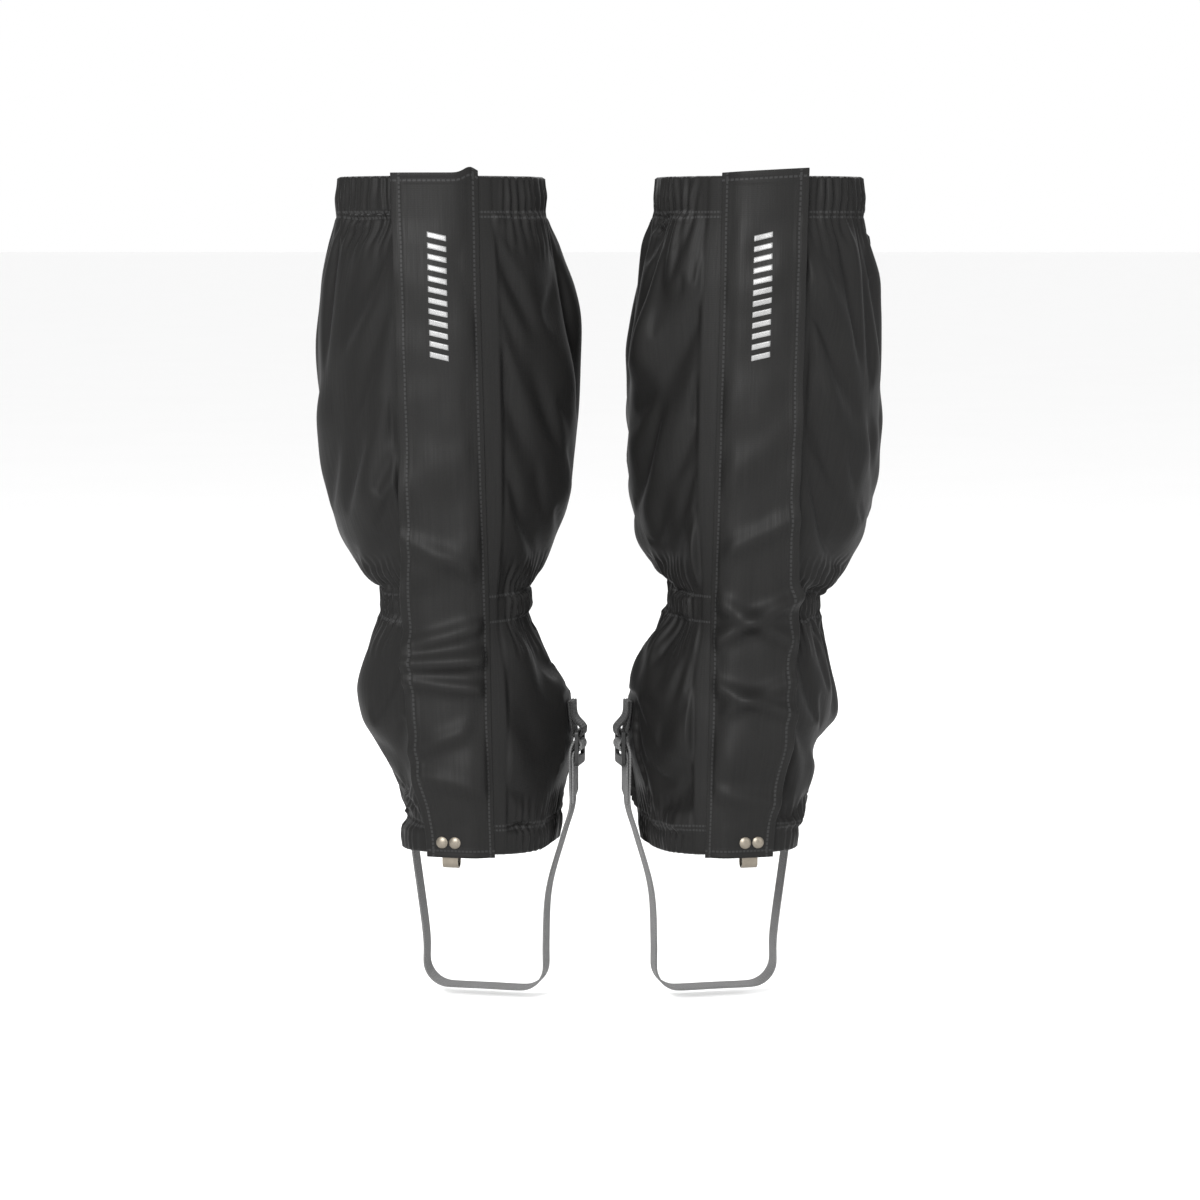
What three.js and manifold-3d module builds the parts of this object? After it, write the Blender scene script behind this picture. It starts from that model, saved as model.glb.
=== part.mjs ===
// A pair of trekking gaiters, worn: gathered fabric sleeves with a front flap, elastics, a lace
// hook and an under-foot strap with a ladder-lock buckle.
// Millimetres, +Z up, toes towards -Y. Z = 0 is the ground, X = 0 is midway between the legs.
// Everything is modelled for the wearer's left leg (+X) and mirrored for the right leg.
import * as THREE from "three";
import { LoftGeometry } from "three/addons/geometries/LoftGeometry.js";
import { mergeVertices } from "three/addons/utils/BufferGeometryUtils.js";
import Module from "manifold-3d";

const wasm = await Module();
wasm.setup();

// ---- sizes of one gaiter ----
const HEIGHT = 424; // hem to top rim, along the side
const HEM_Z = 106; // height of the side of the hem above the ground
const HEM_TILT = 6; // the hem is this much higher in front, and lower behind
const HEM_TILT_FADE = 60; // height over which the hem's tilt dies out
const STANCE = 101; // each calf's centre from the middle of the pair

const CUFF_WIDTH = 130;
const CUFF_DEPTH = 134;
const CALF_WIDTH = 164;
const CALF_DEPTH = 158;
const ANKLE_WIDTH = 93;
const ANKLE_DEPTH = 125;
const BLOUSE_WIDTH = 135;
const BLOUSE_DEPTH = 154;
const HEM_WIDTH = 90;
const HEM_DEPTH = 140;
const ANKLE_AT = 157; // middle of the ankle elastic, above the hem
const TOE_OUT = THREE.MathUtils.degToRad(12); // the foot and all below the ankle turn outwards

const FABRIC = 1.4; // wall of the sleeve and of the flap
const CLEAR = 0.3; // gap between pieces that touch

const TOP_BAND = 20; // widths of the three elastics
const ANKLE_BAND = 14;
const HEM_BAND = 12;
const BAND_EDGE = 3; // the hem's and the cuff's elastic from the fabric's edge
const ELASTIC = 1;
const BAND_END = 10; // degrees of the leg that an elastic leaves free beside the opening

const FLAP_WIDTH = 51;
const FLAP_HEM_WIDTH = 40;
const FLAP_TAPER_FROM = 110; // the flap narrows below this height
const SEAM_TOP_X = STANCE - FLAP_WIDTH / 2; // the flap's sewn edge
const SEAM_HEM_X = 66;
const FLAP_OVER = 3; // the flap runs past the rim and the hem
const SEAM_LAP = 4; // the inner panel ends this far under the flap
const SLIT = 5; // front opening of the sleeve, under the flap

const TAPE = 0.9;
const TAPE_LIE = 0.7; // the tape's backing stands this far off the fabric between its stitches
const TAPE_WIDTH = 20;
const TAPE_INSET = 5; // from the flap's free edge
const TAPE_FROM = 24;
const TAPE_TO_RIM = 9;

const MARK_WIDTH = 11;
const MARK_LENGTH = 79;
const MARK_FROM_RIM = 33;
const MARK_FILM = 0.4;

const HOOK_PLATE = [20, 11, 1]; // width, height, thickness
const HOOK_STRIP = 10;
const HOOK_THROAT = 3; // inside radius of its bend
const HOOK_DROP = 7.5; // how far it reaches below the flap
const HOOK_TIP = 3.6; // straight end of the hook above the bend
const HOOK_CENTRE_X = 93;
const RIVET_ABOVE_HEM = 9.5;
const RIVET_SPACING = 8.2;
const RIVET_SHANK = 1.4;
const RIVET_CAP = 3.7;
const RIVET_DOME = 1.5;
const RIVET_FLANGE = [2.6, 0.7]; // radius, thickness

const STRAP_WIDTH = 15;
const STRAP = 1.4;
const STRAP_TAIL = 25; // free end below the buckle
const SOLE_WIDTH = 80; // the boot's sole that the strap passes under
const SOLE_CORNER = 16;
const STRAP_GROUND = 8; // middle of the strap above the ground, in the boot's arch
const BUCKLE_AT = 64; // buckle's middle bar above the hem
const BUCKLE_RAIL = 2.7;
const BUCKLE_THICK = 2.6;
const BUCKLE_BAR = 2.5;
const BUCKLE_TOP_BAR = 3;
const BUCKLE_LIP = 6;
const BUCKLE_TOP_SLOT = 5.5;
const BUCKLE_LOW_SLOT = 6;
const BUCKLE_STAND = 5.4; // buckle's middle in front of the fabric
const TAB_LENGTH = 20; // webbing tab above the buckle's top bar
const STRAP_END_AT = 60; // the strap's sewn end above the hem, on the outer side
const STRAP_END_LAP = 6;
const STRAP_SEWN = 0.8; // the sewn end's gap to the fabric
const STRAP_STAND = 3.5; // the hanging strap's middle from the fabric

// ---- shape of the sleeve ----
const mix = THREE.MathUtils.lerp;
const smooth = (t) => THREE.MathUtils.smoothstep(t, 0, 1);
const TAU = 2 * Math.PI;

// Horizontal sections, from the hem up: width, depth, centre, front, squareness and turn.
function ring(h, width, depth, centre, front, power, turn) {
  return { h, width, depth, centre: STANCE + centre, front, power, turn: TOE_OUT * turn };
}

const lowerW = (t) => mix(HEM_WIDTH, BLOUSE_WIDTH, t);
const lowerD = (t) => mix(HEM_DEPTH, BLOUSE_DEPTH, t);
const upperW = (t) => mix(ANKLE_WIDTH, CALF_WIDTH, t);
const upperD = (t) => mix(ANKLE_DEPTH, CALF_DEPTH, t);
const BLOUSE_AT = 96;
const CALF_LOW = HEIGHT - 117;
const KNEE_OF_CALF = ANKLE_AT + 36;
const RINGS = [
  ring(0, HEM_WIDTH, HEM_DEPTH, -25, -78, 2.9, 1),
  ring(30, lowerW(0.14), lowerD(0.35), -24, -77, 2.7, 1),
  ring(52, lowerW(0.42), lowerD(0.86), -25.5, -76, 2.4, 1),
  ring(66, lowerW(0.62), lowerD(1), -25, -75.5, 2.3, 1),
  ring(76, lowerW(0.78), lowerD(1), -21.5, -75, 2.2, 1),
  ring(BLOUSE_AT, BLOUSE_WIDTH, BLOUSE_DEPTH, -13, -73.5, 2.2, 0.7),
  ring(125, mix(ANKLE_WIDTH, BLOUSE_WIDTH, 0.64), mix(ANKLE_DEPTH, BLOUSE_DEPTH, 0.7), -11, -71, 2.2, 0.3),
  ring(ANKLE_AT - ANKLE_BAND / 2, ANKLE_WIDTH, ANKLE_DEPTH, -9, -67.5, 2.3, 0.1),
  ring(ANKLE_AT + ANKLE_BAND / 2, ANKLE_WIDTH, ANKLE_DEPTH, -8.5, -67.5, 2.3, 0),
  ring(KNEE_OF_CALF, upperW(0.58), upperD(0.55), -4.5, -69, 2.15, 0),
  ring(mix(KNEE_OF_CALF, CALF_LOW, 0.46), upperW(0.86), upperD(0.88), -3.5, -70, 2.1, 0),
  ring(CALF_LOW, CALF_WIDTH, CALF_DEPTH, -3, -70, 2.1, 0),
  ring(HEIGHT - 68, CALF_WIDTH, CALF_DEPTH - 3, -0.5, -69, 2.1, 0),
  ring(HEIGHT - 46, mix(CUFF_WIDTH, CALF_WIDTH, 0.62), mix(CUFF_DEPTH, CALF_DEPTH, 0.55), 0.5, -67, 2.1, 0),
  ring(HEIGHT - BAND_EDGE - TOP_BAND - 3, CUFF_WIDTH, CUFF_DEPTH, 0, -64, 2.1, 0),
  ring(HEIGHT, CUFF_WIDTH, CUFF_DEPTH, 0, -64, 2.1, 0),
];

// Slope of one quantity at ring i: level at a crest or a hollow, so that nothing overshoots.
function slopeAt(i, key) {
  if (i <= 0 || i >= RINGS.length - 1) return 0;
  const [a, b, c] = [RINGS[i - 1], RINGS[i], RINGS[i + 1]];
  const before = (b[key] - a[key]) / (b.h - a.h);
  const after = (c[key] - b[key]) / (c.h - b.h);
  if (before * after <= 0) return 0;
  return (2 * before * after) / (before + after);
}

function ringAt(height) {
  const h = THREE.MathUtils.clamp(height, RINGS[0].h, RINGS.at(-1).h);
  let i = 0;
  while (i < RINGS.length - 2 && h > RINGS[i + 1].h) i += 1;
  const span = RINGS[i + 1].h - RINGS[i].h;
  const t = (h - RINGS[i].h) / span;
  const found = {};
  for (const key of ["width", "depth", "centre", "front", "power", "turn"]) {
    const [p, q] = [RINGS[i][key], RINGS[i + 1][key]];
    const [m, n] = [slopeAt(i, key) * span, slopeAt(i + 1, key) * span];
    const bend = t * (1 - t);
    found[key] = mix(p, q, t * t * (3 - 2 * t)) + bend * (1 - t) * m - bend * t * n;
  }
  return found;
}

// A point `offset` outside the sleeve. Angle u is 0 in front and grows towards the outer side.
function sleevePoint(height, u, offset = 0) {
  const r = ringAt(height);
  const [sin, cos] = [Math.sin(u), Math.cos(u)];
  const bow = (v, e) => Math.sign(v) * Math.abs(v) ** e;
  const [halfW, halfD] = [r.width / 2, r.depth / 2];
  const out = new THREE.Vector2(bow(sin, 2 - 2 / r.power) / halfW, -bow(cos, 2 - 2 / r.power) / halfD);
  const flat = new THREE.Vector2(halfW * bow(sin, 2 / r.power), -halfD * bow(cos, 2 / r.power));
  flat.addScaledVector(out.normalize(), offset);
  flat.rotateAround(new THREE.Vector2(), r.turn);
  const tilt = HEM_TILT * cos * Math.max(0, 1 - height / HEM_TILT_FADE);
  return new THREE.Vector3(r.centre + flat.x, r.front + halfD + flat.y, HEM_Z + height + tilt);
}

// The angle at which the front of the sleeve has this x.
function frontAngle(height, x) {
  let [low, high] = [-1.4, 1.4];
  for (let i = 0; i < 30; i += 1) {
    const middle = (low + high) / 2;
    if (sleevePoint(height, middle).x < x) low = middle;
    else high = middle;
  }
  return (low + high) / 2;
}

const seamX = (h) => mix(SEAM_HEM_X, SEAM_TOP_X, h / HEIGHT);
const flapWidth = (h) => mix(FLAP_HEM_WIDTH, FLAP_WIDTH, smooth(h / FLAP_TAPER_FROM));
const freeX = (h) => seamX(h) + flapWidth(h);

// The heights at which every fabric piece has a row of points, so that layers stay parallel.
const KEY_HEIGHTS = [
  ...RINGS.map((r) => r.h),
  BAND_EDGE,
  BAND_EDGE + HEM_BAND,
  ...[6, 8, 9, 10].map((i) => mix(RINGS[i].h, RINGS[i + 1].h, 0.5)),
  mix(CALF_LOW, HEIGHT - 68, 0.5),
  HEIGHT - BAND_EDGE - TOP_BAND,
  HEIGHT - BAND_EDGE,
  TAPE_FROM,
  HEIGHT - TAPE_TO_RIM,
  HEIGHT - MARK_FROM_RIM - MARK_LENGTH,
  HEIGHT - MARK_FROM_RIM,
];

function rowsBetween(low, high) {
  const inside = KEY_HEIGHTS.filter((h) => h > low + 1 && h < high - 1);
  const ordered = [low, ...inside.sort((a, b) => a - b), high];
  return ordered.filter((h, i) => i === 0 || h - ordered[i - 1] > 0.5);
}

// A layer of cloth: at each height its outer line, then its inner line back.
function layer(heights, columns, outer, inner) {
  const sections = heights.map((h) => {
    const out = Array.from({ length: columns + 1 }, (_, j) => outer(h, j / columns));
    const back = Array.from({ length: columns + 1 }, (_, j) => inner(h, 1 - j / columns));
    return [...out, ...back];
  });
  return new LoftGeometry(sections, { capStart: true, capEnd: true });
}

// A layer that follows the front of the sleeve from one x to another, at offsets from it.
function frontLayer(heights, columns, fromX, toX, innerOffset, outerOffset) {
  const at = (h, t, offset) => {
    const x = mix(fromX(h), toX(h), t);
    return sleevePoint(h, frontAngle(h, x), offset(h, x));
  };
  return layer(
    heights,
    columns,
    (h, t) => at(h, t, outerOffset),
    (h, t) => at(h, t, innerOffset),
  );
}

// ---- joining and cutting ----
function toSolid(geometry) {
  const bare = new THREE.BufferGeometry().copy(geometry);
  bare.deleteAttribute("normal");
  bare.deleteAttribute("uv");
  const merged = mergeVertices(bare, 1e-4);
  return new wasm.Manifold(
    new wasm.Mesh({
      numProp: 3,
      vertProperties: merged.attributes.position.array,
      triVerts: new Uint32Array(merged.index.array),
    }),
  );
}

function toGeometry(solid) {
  const mesh = solid.getMesh();
  const geometry = new THREE.BufferGeometry();
  geometry.setAttribute("position", new THREE.BufferAttribute(mesh.vertProperties, 3));
  geometry.setIndex(new THREE.BufferAttribute(mesh.triVerts, 1));
  return geometry;
}

// ---- fabric sleeve and elastics ----
const SLEEVE_COLUMNS = 30;

// Angle along the open sleeve, from the underlap (0) round the leg to the flap's seam (1).
function wrapAngle(h, t) {
  const start = frontAngle(h, seamX(h) + SEAM_LAP + SLIT);
  const end = TAU + frontAngle(h, seamX(h) + SEAM_LAP);
  return mix(start, end, t);
}

function sleeveGeometry() {
  return layer(
    rowsBetween(0, HEIGHT),
    SLEEVE_COLUMNS,
    (h, t) => sleevePoint(h, wrapAngle(h, t)),
    (h, t) => sleevePoint(h, wrapAngle(h, t), -FABRIC),
  );
}

// An elastic inside the fabric, from two columns after the opening to two before it.
function elasticGeometry(low, high) {
  const skip = Math.round(BAND_END / (360 / SLEEVE_COLUMNS));
  const columns = SLEEVE_COLUMNS - 2 * skip;
  const angle = (h, t) => wrapAngle(h, (skip + t * columns) / SLEEVE_COLUMNS);
  return layer(
    rowsBetween(low, high),
    columns,
    (h, t) => sleevePoint(h, angle(h, t), -FABRIC - CLEAR),
    (h, t) => sleevePoint(h, angle(h, t), -FABRIC - CLEAR - ELASTIC),
  );
}

// ---- front flap, its closure and its mark ----
const hookHeight = (z) => (z - HEM_Z - HEM_TILT) / (1 - HEM_TILT / HEM_TILT_FADE);
const FLAP_LOW = -FLAP_OVER;
const FLAP_BOTTOM_Z = sleevePoint(FLAP_LOW, 0).z;
const RIVET_H = hookHeight(FLAP_BOTTOM_Z + RIVET_ABOVE_HEM);

// The plate of the hook is flat and the flap is curved, so the plate sits back by this.
function hookFrame() {
  const u = frontAngle(RIVET_H, HOOK_CENTRE_X);
  const centre = sleevePoint(RIVET_H, u);
  const out = sleevePoint(RIVET_H, u, 1).sub(centre).setZ(0).normalize();
  let sag = 0;
  for (const side of [-0.5, 0.5]) {
    for (const end of [-0.5, 0.5]) {
      const h = RIVET_H + end * HOOK_PLATE[1];
      const edge = sleevePoint(h, frontAngle(h, HOOK_CENTRE_X + side * HOOK_PLATE[0]));
      sag = Math.max(sag, -edge.sub(centre).setZ(0).dot(out));
    }
  }
  return { centre, out, seat: sag + CLEAR };
}

const HOOK = hookFrame();
const TAPE_STAND = 2 * TAPE + 3 * TAPE_LIE;
const HOOK_STACK = HOOK.seat + HOOK_PLATE[2] + CLEAR + RIVET_FLANGE[1] + 2 * CLEAR;
const HOOK_STAND = Math.max(TAPE_STAND, HOOK_STACK);
const SEAM_STAND = CLEAR + 0.1;
const STAND_RAMP = 14; // the flap rises from its seam over this width

// Gap between the sleeve and the flap's inner face.
function flapStand(h, x) {
  const full = mix(HOOK_STAND, TAPE_STAND, smooth((h - 20) / 16));
  return mix(SEAM_STAND, full, smooth((x - seamX(h)) / STAND_RAMP));
}

const flapRows = () => rowsBetween(FLAP_LOW, HEIGHT + FLAP_OVER);
const flapOuter = (h, x) => flapStand(h, x) + FABRIC;

function flapSheet() {
  return frontLayer(flapRows(), 8, seamX, freeX, flapStand, flapOuter);
}

const tapeFrom = (h) => freeX(h) - TAPE_INSET - TAPE_WIDTH;
const tapeTo = (h) => freeX(h) - TAPE_INSET;
const tapeRows = () => rowsBetween(TAPE_FROM, HEIGHT - TAPE_TO_RIM);

function loopTapeGeometry() {
  const low = () => TAPE_LIE;
  const high = () => TAPE_LIE + TAPE;
  return frontLayer(tapeRows(), 4, tapeFrom, tapeTo, low, high);
}

function hookTapeGeometry() {
  const low = (h, x) => flapStand(h, x) - TAPE_LIE - TAPE;
  const high = (h, x) => flapStand(h, x) - TAPE_LIE;
  return frontLayer(tapeRows(), 4, tapeFrom, tapeTo, low, high);
}

function markGeometry() {
  const top = HEIGHT - MARK_FROM_RIM;
  const middle = (h) => seamX(h) + flapWidth(h) / 2;
  const low = (h, x) => flapOuter(h, x) + CLEAR;
  const high = (h, x) => flapOuter(h, x) + CLEAR + MARK_FILM;
  return frontLayer(
    rowsBetween(top - MARK_LENGTH, top),
    2,
    (h) => middle(h) - MARK_WIDTH / 2,
    (h) => middle(h) + MARK_WIDTH / 2,
    low,
    high,
  );
}

// ---- lace hook and rivets, in a frame on the flap's inner face ----
// Local y runs inwards, z up, and the rivets lie at z = 0.
const hookPlace = new THREE.Matrix4()
  .makeTranslation(HOOK.centre.clone().addScaledVector(HOOK.out, HOOK_STAND))
  .multiply(new THREE.Matrix4().makeRotationZ(Math.atan2(HOOK.out.x, -HOOK.out.y)));
const rivetXs = [-RIVET_SPACING / 2, RIVET_SPACING / 2];

// A thin strip along a path in a plane, as a closed outline.
function stripShape(path, thickness, divisions) {
  const points = path.getPoints(divisions).filter((p, i, all) => i === 0 || p.distanceTo(all[i - 1]) > 1e-4);
  const sides = points.map((p, i) => {
    const before = points[Math.max(i - 1, 0)];
    const after = points[Math.min(i + 1, points.length - 1)];
    const into = p.clone().sub(before).normalize();
    const away = after.clone().sub(p).normalize();
    const along = into.clone().add(away).normalize();
    const last = i === 0 ? away : into;
    const miter = thickness / 2 / Math.max(0.5, along.dot(last));
    return { p, n: new THREE.Vector2(-along.y, along.x).multiplyScalar(miter) };
  });
  const left = sides.map(({ p, n }) => p.clone().add(n));
  const right = sides.map(({ p, n }) => p.clone().sub(n)).reverse();
  return new THREE.Shape([...right.reverse(), ...left.reverse()]);
}

// The outline's own x and y become y and z, and it is extruded along x, centred.
function extrudeAcross(shape, width) {
  const geometry = new THREE.ExtrudeGeometry(shape, { depth: width, bevelEnabled: false, curveSegments: 6 });
  geometry.translate(0, 0, -width / 2);
  geometry.rotateX(Math.PI / 2);
  geometry.rotateZ(Math.PI / 2);
  return geometry;
}

// A flat plate with round corners and holes, upright across x, from y inwards.
function plateGeometry(width, height, corner, y, thickness, holes) {
  const shape = new THREE.Shape();
  const [w, h] = [width / 2 - corner, height / 2 - corner];
  shape.absarc(w, h, corner, 0, TAU / 4);
  shape.absarc(-w, h, corner, TAU / 4, TAU / 2);
  shape.absarc(-w, -h, corner, TAU / 2, (3 * TAU) / 4);
  shape.absarc(w, -h, corner, (3 * TAU) / 4, TAU);
  shape.holes.push(...holes);
  const settings = { depth: thickness, bevelEnabled: false, curveSegments: 5 };
  const geometry = new THREE.ExtrudeGeometry(shape, settings);
  geometry.rotateX(Math.PI / 2);
  geometry.translate(0, y + thickness, 0);
  return geometry;
}

function laceHookGeometry() {
  const [width, height, thick] = HOOK_PLATE;
  const holes = rivetXs.map((x) => new THREE.Path().absarc(x, 0, RIVET_SHANK + CLEAR, 0, TAU, true));
  const plate = plateGeometry(width, height, 2, HOOK.seat, thick, holes);
  const middle = HOOK.seat + thick / 2;
  const bend = HOOK_THROAT + thick / 2;
  const bendZ = -RIVET_ABOVE_HEM - HOOK_DROP + bend + thick / 2;
  const side = new THREE.Path();
  side.moveTo(middle, -height / 2 + 2);
  side.lineTo(middle, bendZ);
  side.absarc(middle + bend, bendZ, bend, Math.PI, TAU, false);
  side.lineTo(middle + 2 * bend, bendZ + HOOK_TIP);
  const strip = extrudeAcross(stripShape(side, thick, 10), HOOK_STRIP);
  return toGeometry(toSolid(plate).add(toSolid(strip))).applyMatrix4(hookPlace);
}

function rivetGeometry(x) {
  const capFrom = -FABRIC - CLEAR;
  const flangeFrom = HOOK.seat + HOOK_PLATE[2] + CLEAR;
  const dome = new THREE.Path();
  dome.absellipse(0, capFrom - 0.4, RIVET_CAP, RIVET_DOME - 0.4, -Math.PI / 2, 0, false, 0);
  const profile = [
    ...dome.getPoints(3),
    new THREE.Vector2(RIVET_CAP, capFrom),
    new THREE.Vector2(RIVET_SHANK, capFrom),
    new THREE.Vector2(RIVET_SHANK, flangeFrom),
    new THREE.Vector2(RIVET_FLANGE[0], flangeFrom),
    new THREE.Vector2(RIVET_FLANGE[0], flangeFrom + RIVET_FLANGE[1]),
    new THREE.Vector2(0, flangeFrom + RIVET_FLANGE[1]),
  ];
  profile[0].x = 0;
  return new THREE.LatheGeometry(profile, 12).translate(x, 0, 0).applyMatrix4(hookPlace);
}

function flapGeometry() {
  const length = 20;
  const holes = rivetXs.map((x) => {
    const hole = new THREE.CylinderGeometry(RIVET_SHANK + CLEAR, RIVET_SHANK + CLEAR, length, 12);
    return toSolid(hole.translate(x, 0, 0).applyMatrix4(hookPlace));
  });
  return toGeometry(holes.reduce((solid, hole) => solid.subtract(hole), toSolid(flapSheet())));
}

// ---- under-foot strap, buckle and tab ----
// They lie in an upright plane turned by TOE_OUT. Local x runs across the leg, outwards.
const across = new THREE.Vector2(Math.cos(TOE_OUT), Math.sin(TOE_OUT));
const along = new THREE.Vector2(-across.y, across.x);

// The sleeve's furthest point across the leg, on the inner (-1) or outer (+1) side.
function reach(h, side) {
  let found = -Infinity;
  for (let i = 0; i < 180; i += 1) {
    const p = sleevePoint(h, (i / 180) * TAU);
    found = Math.max(found, side * (p.x * across.x + p.y * across.y));
  }
  return side * found;
}

function centreOf(h) {
  const r = ringAt(h);
  return new THREE.Vector2(r.centre, r.front + r.depth / 2);
}

const strapPlane = centreOf(BUCKLE_AT).dot(along);
const soleMiddle = centreOf(0).dot(across);
const BAR_Z = HEM_Z + BUCKLE_AT;
const TOP_BAR_Z = BAR_Z + BUCKLE_BAR / 2 + BUCKLE_TOP_SLOT + BUCKLE_TOP_BAR / 2;
const TAB_TOP_Z = TOP_BAR_Z + TAB_LENGTH;
const LIP_TOP_Z = BAR_Z - BUCKLE_BAR / 2 - BUCKLE_LOW_SLOT;
const tabSide = Math.min(reach(BUCKLE_AT + 2, -1), reach(BUCKLE_AT + 12, -1), reach(BUCKLE_AT + 22, -1));
const buckleX = tabSide - BUCKLE_STAND;
const overBar = (bar) => Math.hypot(bar, BUCKLE_THICK) / 2 + CLEAR + STRAP / 2;
const tailX = buckleX + BUCKLE_THICK / 2 + STRAP / 2 + 0.8;
const loadX = tailX + STRAP + 0.4;

function strapPath() {
  const soleLow = soleMiddle - SOLE_WIDTH / 2;
  const soleHigh = soleMiddle + SOLE_WIDTH / 2;
  const hemInner = Math.min(reach(0, -1), reach(30, -1)) - STRAP_STAND;
  const outer = (h, stand) => new THREE.Vector2(reach(h, 1) + stand, HEM_Z + h);
  const turn = overBar(BUCKLE_BAR);
  const path = new THREE.Path();
  path.moveTo(tailX, LIP_TOP_Z - BUCKLE_LIP - STRAP_TAIL);
  path.lineTo(tailX, LIP_TOP_Z - 1);
  path.splineThru([
    new THREE.Vector2(tailX - 0.9, LIP_TOP_Z + 2.6),
    new THREE.Vector2(buckleX - 1.7, BAR_Z - 3),
    new THREE.Vector2(buckleX - turn, BAR_Z),
    new THREE.Vector2(buckleX - turn * 0.6, BAR_Z + turn * 0.8),
    new THREE.Vector2(buckleX + turn * 0.6, BAR_Z + turn * 0.8),
    new THREE.Vector2(loadX - 1, BAR_Z - 1),
    new THREE.Vector2(loadX, BAR_Z - 5.5),
  ]);
  path.lineTo(loadX, LIP_TOP_Z - BUCKLE_LIP - STRAP_TAIL - 2);
  path.splineThru([
    new THREE.Vector2(hemInner, HEM_Z + 4),
    new THREE.Vector2(soleLow - 2, HEM_Z - 32),
    new THREE.Vector2(soleLow, STRAP_GROUND + SOLE_CORNER + 14),
  ]);
  path.lineTo(soleLow, STRAP_GROUND + SOLE_CORNER);
  path.absarc(soleLow + SOLE_CORNER, STRAP_GROUND + SOLE_CORNER, SOLE_CORNER, Math.PI, 1.5 * Math.PI, false);
  path.lineTo(soleHigh - SOLE_CORNER, STRAP_GROUND);
  path.absarc(soleHigh - SOLE_CORNER, STRAP_GROUND + SOLE_CORNER, SOLE_CORNER, 1.5 * Math.PI, TAU, false);
  path.lineTo(soleHigh, STRAP_GROUND + SOLE_CORNER + 14);
  path.splineThru([
    outer(0, STRAP_STAND),
    outer(22, STRAP_STAND + 0.5),
    outer(42, STRAP_STAND - 0.5),
    outer(STRAP_END_AT - STRAP_END_LAP, STRAP / 2 + STRAP_SEWN + CLEAR),
    outer(STRAP_END_AT, STRAP / 2 + STRAP_SEWN),
    outer(STRAP_END_AT + STRAP_END_LAP, STRAP / 2 + STRAP_SEWN),
  ]);
  return path;
}

// Webbing along a path in the strap's plane.
function webbing(path, divisions) {
  const geometry = new THREE.ExtrudeGeometry(stripShape(path, STRAP, divisions), {
    depth: STRAP_WIDTH,
    bevelEnabled: false,
  });
  geometry.translate(0, 0, -STRAP_WIDTH / 2);
  return geometry.rotateX(Math.PI / 2);
}

function tabGeometry() {
  const turn = overBar(BUCKLE_TOP_BAR);
  const onFabric = (z) => reach(z - HEM_Z, -1) - STRAP / 2 - 2 * CLEAR;
  const path = new THREE.Path();
  path.moveTo(onFabric(TAB_TOP_Z) - STRAP - CLEAR, TAB_TOP_Z);
  path.lineTo(onFabric(TAB_TOP_Z - 10) - STRAP - CLEAR, TAB_TOP_Z - 10);
  path.lineTo(buckleX - turn, TOP_BAR_Z + 2.5);
  path.lineTo(buckleX - turn, TOP_BAR_Z);
  path.absarc(buckleX, TOP_BAR_Z, turn, Math.PI, TAU, false);
  path.lineTo(onFabric(TAB_TOP_Z - 10), TAB_TOP_Z - 10);
  path.lineTo(onFabric(TAB_TOP_Z), TAB_TOP_Z);
  return webbing(path, 6);
}

function buckleGeometry() {
  const slotWidth = STRAP_WIDTH + 0.8;
  const width = slotWidth + 2 * BUCKLE_RAIL;
  const top = TOP_BAR_Z + BUCKLE_TOP_BAR / 2;
  const bottom = LIP_TOP_Z - BUCKLE_LIP;
  const middle = (top + bottom) / 2;
  const slot = (low, high) => {
    const path = new THREE.Path();
    path.moveTo(-slotWidth / 2, low - middle);
    path.lineTo(-slotWidth / 2, high - middle);
    path.lineTo(slotWidth / 2, high - middle);
    path.lineTo(slotWidth / 2, low - middle);
    return path;
  };
  const slots = [
    slot(BAR_Z + BUCKLE_BAR / 2, BAR_Z + BUCKLE_BAR / 2 + BUCKLE_TOP_SLOT),
    slot(LIP_TOP_Z, BAR_Z - BUCKLE_BAR / 2),
  ];
  const frame = plateGeometry(width, top - bottom, 2.4, -BUCKLE_THICK / 2, BUCKLE_THICK, slots);
  return frame.rotateZ(Math.PI / 2).translate(buckleX, 0, middle);
}

// ---- finishes ----
const finish = (color, roughness, metalness = 0) => () =>
  new THREE.MeshStandardMaterial({ color, roughness, metalness });
const nylon = finish(0x1d1d1e, 0.62);
const elastic = finish(0x141414, 0.85);
const tapeFinish = finish(0x101011, 0.95);
const print = finish(0xc9c9c6, 0.4);
const nickel = finish(0xb4ab98, 0.35, 1);
const greyWebbing = finish(0x77787a, 0.7);
const blackWebbing = finish(0x17171a, 0.8);
const acetal = finish(0x0e0e10, 0.45);

// ---- one gaiter, then the pair ----
const strapGroup = [
  ["foot_strap", webbing(strapPath(), 5), greyWebbing],
  ["strap_buckle", buckleGeometry(), acetal],
  ["buckle_tab", tabGeometry(), blackWebbing],
];
const onLeg = [
  ["fabric_sleeve", sleeveGeometry(), nylon],
  ["top_elastic", elasticGeometry(HEIGHT - BAND_EDGE - TOP_BAND, HEIGHT - BAND_EDGE), elastic],
  ["ankle_elastic", elasticGeometry(ANKLE_AT - ANKLE_BAND / 2, ANKLE_AT + ANKLE_BAND / 2), elastic],
  ["hem_elastic", elasticGeometry(BAND_EDGE, BAND_EDGE + HEM_BAND), elastic],
  ["loop_tape", loopTapeGeometry(), tapeFinish],
  ["front_flap", flapGeometry(), nylon],
  ["hook_tape", hookTapeGeometry(), tapeFinish],
  ["reflective_mark", markGeometry(), print],
  ["lace_hook", laceHookGeometry(), nickel],
  ["hook_rivet_inner", rivetGeometry(rivetXs[0]), nickel],
  ["hook_rivet_outer", rivetGeometry(rivetXs[1]), nickel],
];

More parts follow.
